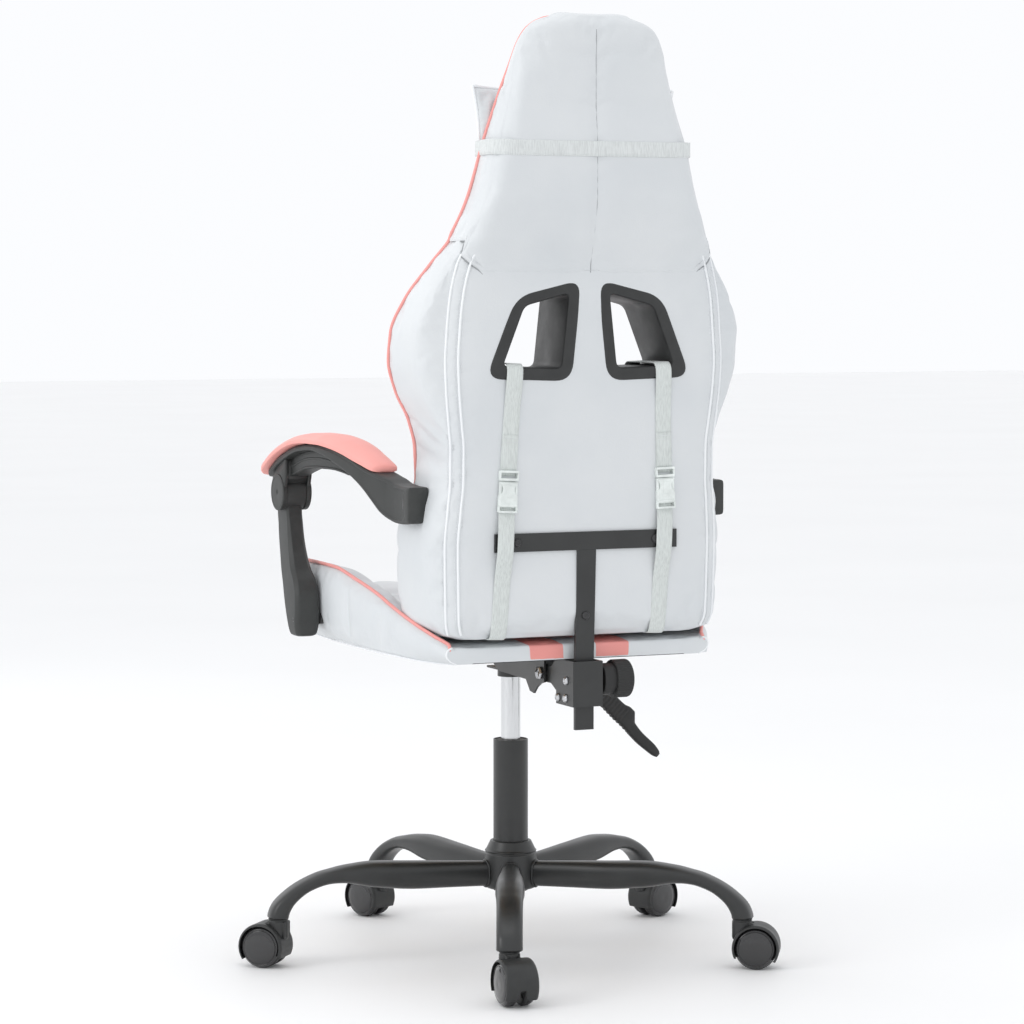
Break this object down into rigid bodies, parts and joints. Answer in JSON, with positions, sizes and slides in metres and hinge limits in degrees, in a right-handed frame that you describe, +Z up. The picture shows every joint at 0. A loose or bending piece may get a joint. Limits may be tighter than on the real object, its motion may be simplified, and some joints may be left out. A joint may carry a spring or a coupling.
{
  "type": "gaming chair",
  "caption": "High-back reclining swivel chair with bolstered seat and back, linked armrests, head and lumbar pillows, gas lift and a steel star base on twin-wheel casters.",
  "frame": {"origin": "on the floor, on the axis of the column", "axes": "+Z up, the sitter faces -Y, +X is the sitter's left"},
  "size_m": [0.7553, 0.7653, 1.33],
  "materials": {
    "base_metal": "satin black powder coat",
    "caster_plastic": "black nylon",
    "caster_wheel": "gloss black nylon",
    "zinc_steel": "zinc plated",
    "bright_steel": "polished",
    "frame_steel": "black paint",
    "black_screw": "black oxide",
    "bush_plastic": "moulded",
    "black_plastic": "moulded, fine grain",
    "plywood": "raw plywood",
    "white_leather": "faux leather, fine grain",
    "pink_leather": "faux leather, fine grain",
    "arm_plastic": "moulded, fine grain",
    "webbing": "woven webbing",
    "buckle_plastic": "moulded"
  },
  "bodies": {
    "base": {"base_hub": "base_metal", "base_legs": "base_metal", "caster_stems": "zinc_steel", "lift_tube": "base_metal", "lift_bush": "bush_plastic"},
    "lift_rod": {"piston_rod": "zinc_steel", "thrust_bearing": "zinc_steel"},
    "seat": {"gas_cylinder": "bright_steel", "mech_plate": "base_metal", "taper_socket": "zinc_steel", "pivot_axle": "zinc_steel", "seat_bolts": "zinc_steel", "seat_board": "plywood", "seat_cushion": "white_leather", "arm_brackets": "zinc_steel", "post_pivot_bolts": "zinc_steel"},
    "height_lever": {"lever_rod": "zinc_steel", "lever_grip": "black_plastic"},
    "valve": {"valve_pin": "zinc_steel"},
    "knob": {"clamp_knob": "black_plastic"},
    "backrest": {"back_bracket": "base_metal", "bracket_bolts": "zinc_steel", "back_bar": "base_metal", "back_crossbar": "base_metal", "back_bolts": "black_screw", "back_frame": "frame_steel", "back_cushion": "white_leather", "window_bezel_left": "arm_plastic", "window_bezel_right": "arm_plastic", "head_pillow": "white_leather", "head_strap": "webbing", "lumbar_pillow": "white_leather", "lumbar_strap_left": "webbing", "lumbar_strap_right": "webbing", "buckle_left": "buckle_plastic", "buckle_right": "buckle_plastic", "arm_rear_bolts": "zinc_steel"},
    "caster_1": {"caster_hood_1": "caster_plastic"},
    "wheels_1": {"caster_wheels_1": "caster_wheel", "caster_axle_1": "zinc_steel"},
    "caster_2": {"caster_hood_2": "caster_plastic"},
    "wheels_2": {"caster_wheels_2": "caster_wheel", "caster_axle_2": "zinc_steel"},
    "caster_3": {"caster_hood_3": "caster_plastic"},
    "wheels_3": {"caster_wheels_3": "caster_wheel", "caster_axle_3": "zinc_steel"},
    "caster_4": {"caster_hood_4": "caster_plastic"},
    "wheels_4": {"caster_wheels_4": "caster_wheel", "caster_axle_4": "zinc_steel"},
    "caster_5": {"caster_hood_5": "caster_plastic"},
    "wheels_5": {"caster_wheels_5": "caster_wheel", "caster_axle_5": "zinc_steel"},
    "arm_post_left": {"arm_post_left": "arm_plastic"},
    "arm_beam_left": {"arm_beam_left": "arm_plastic", "arm_pad_left": "pink_leather", "knuckle_pin_left": "zinc_steel"},
    "arm_post_right": {"arm_post_right": "arm_plastic"},
    "arm_beam_right": {"arm_beam_right": "arm_plastic", "arm_pad_right": "pink_leather", "knuckle_pin_right": "zinc_steel"}
  },
  "joints": [
    {"name": "lift_swivel", "type": "hinge", "parent": "base", "child": "lift_rod", "pos_m": [0, 0, 0.1], "axis": [0, 0, 1], "continuous": true},
    {"name": "lift_slide", "type": "slide", "parent": "lift_rod", "child": "seat", "axis": [0, 0, 1], "range_m": [-0.085, 0.012]},
    {"name": "height_lever_lift", "type": "hinge", "parent": "seat", "child": "height_lever", "pos_m": [-0.035, 0.015, 0.4385], "axis": [0, 1, 0], "range_deg": [0, 8], "stiffness_Nm_per_rad": 3, "springref_deg": -17.19},
    {"name": "valve_press", "type": "slide", "parent": "seat", "child": "valve", "axis": [0, 0, -1], "range_m": [0, 0.005]},
    {"name": "knob_turn", "type": "hinge", "parent": "backrest", "child": "knob", "pos_m": [-0.045, 0.239, 0.4215], "axis": [-1, 0, 0], "continuous": true},
    {"name": "back_recline", "type": "hinge", "parent": "seat", "child": "backrest", "pos_m": [0, 0.164, 0.425], "axis": [-1, 0, 0], "range_deg": [0, 12]},
    {"name": "caster_swivel_1", "type": "hinge", "parent": "base", "child": "caster_1", "pos_m": [0.14142, 0.31468, 0.06], "axis": [0, 0, 1], "continuous": true},
    {"name": "wheel_roll_1", "type": "hinge", "parent": "caster_1", "child": "wheels_1", "pos_m": [0.14247, 0.33465, 0.03], "axis": [-0.9986, 0.0523, 0], "continuous": true},
    {"name": "caster_swivel_2", "type": "hinge", "parent": "base", "child": "caster_2", "pos_m": [-0.25558, 0.23174, 0.06], "axis": [0, 0, 1], "continuous": true},
    {"name": "wheel_roll_2", "type": "hinge", "parent": "caster_2", "child": "wheels_2", "pos_m": [-0.27254, 0.24234, 0.03], "axis": [-0.5299, -0.848, 0], "continuous": true},
    {"name": "caster_swivel_3", "type": "hinge", "parent": "base", "child": "caster_3", "pos_m": [-0.29938, -0.17146, 0.06], "axis": [0, 0, 1], "continuous": true},
    {"name": "wheel_roll_3", "type": "hinge", "parent": "caster_3", "child": "wheels_3", "pos_m": [-0.31805, -0.17862, 0.03], "axis": [0.3584, -0.9336, 0], "continuous": true},
    {"name": "caster_swivel_4", "type": "hinge", "parent": "base", "child": "caster_4", "pos_m": [0.07055, -0.33771, 0.06], "axis": [0, 0, 1], "continuous": true},
    {"name": "wheel_roll_4", "type": "hinge", "parent": "caster_4", "child": "wheels_4", "pos_m": [0.07837, -0.35612, 0.03], "axis": [0.9205, 0.3907, 0], "continuous": true},
    {"name": "caster_swivel_5", "type": "hinge", "parent": "base", "child": "caster_5", "pos_m": [0.34298, -0.03726, 0.06], "axis": [0, 0, 1], "continuous": true},
    {"name": "wheel_roll_5", "type": "hinge", "parent": "caster_5", "child": "wheels_5", "pos_m": [0.35737, -0.05115, 0.03], "axis": [0.6947, 0.7193, 0], "continuous": true},
    {"name": "post_swing_left", "type": "hinge", "parent": "seat", "child": "arm_post_left", "pos_m": [0.268, -0.122, 0.484], "axis": [-1, 0, 0], "range_deg": [0, 16]},
    {"name": "knuckle_bend_left", "type": "hinge", "parent": "arm_post_left", "child": "arm_beam_left", "pos_m": [0.268, -0.181, 0.6645], "axis": [-1, 0, 0], "range_deg": [-13.5, 0]},
    {"name": "post_swing_right", "type": "hinge", "parent": "seat", "child": "arm_post_right", "pos_m": [-0.268, -0.122, 0.484], "axis": [-1, 0, 0], "range_deg": [0, 16]},
    {"name": "knuckle_bend_right", "type": "hinge", "parent": "arm_post_right", "child": "arm_beam_right", "pos_m": [-0.268, -0.181, 0.6645], "axis": [-1, 0, 0], "range_deg": [-13.5, 0]}
  ],
  "couplings": [
    {"joint": "valve_press", "follows": "height_lever_lift", "m_per_rad": 0.035},
    {"joint": "post_swing_left", "follows": "back_recline", "ratio": 1.29},
    {"joint": "knuckle_bend_left", "follows": "back_recline", "ratio": -1.074},
    {"joint": "post_swing_right", "follows": "back_recline", "ratio": 1.29},
    {"joint": "knuckle_bend_right", "follows": "back_recline", "ratio": -1.074}
  ]
}
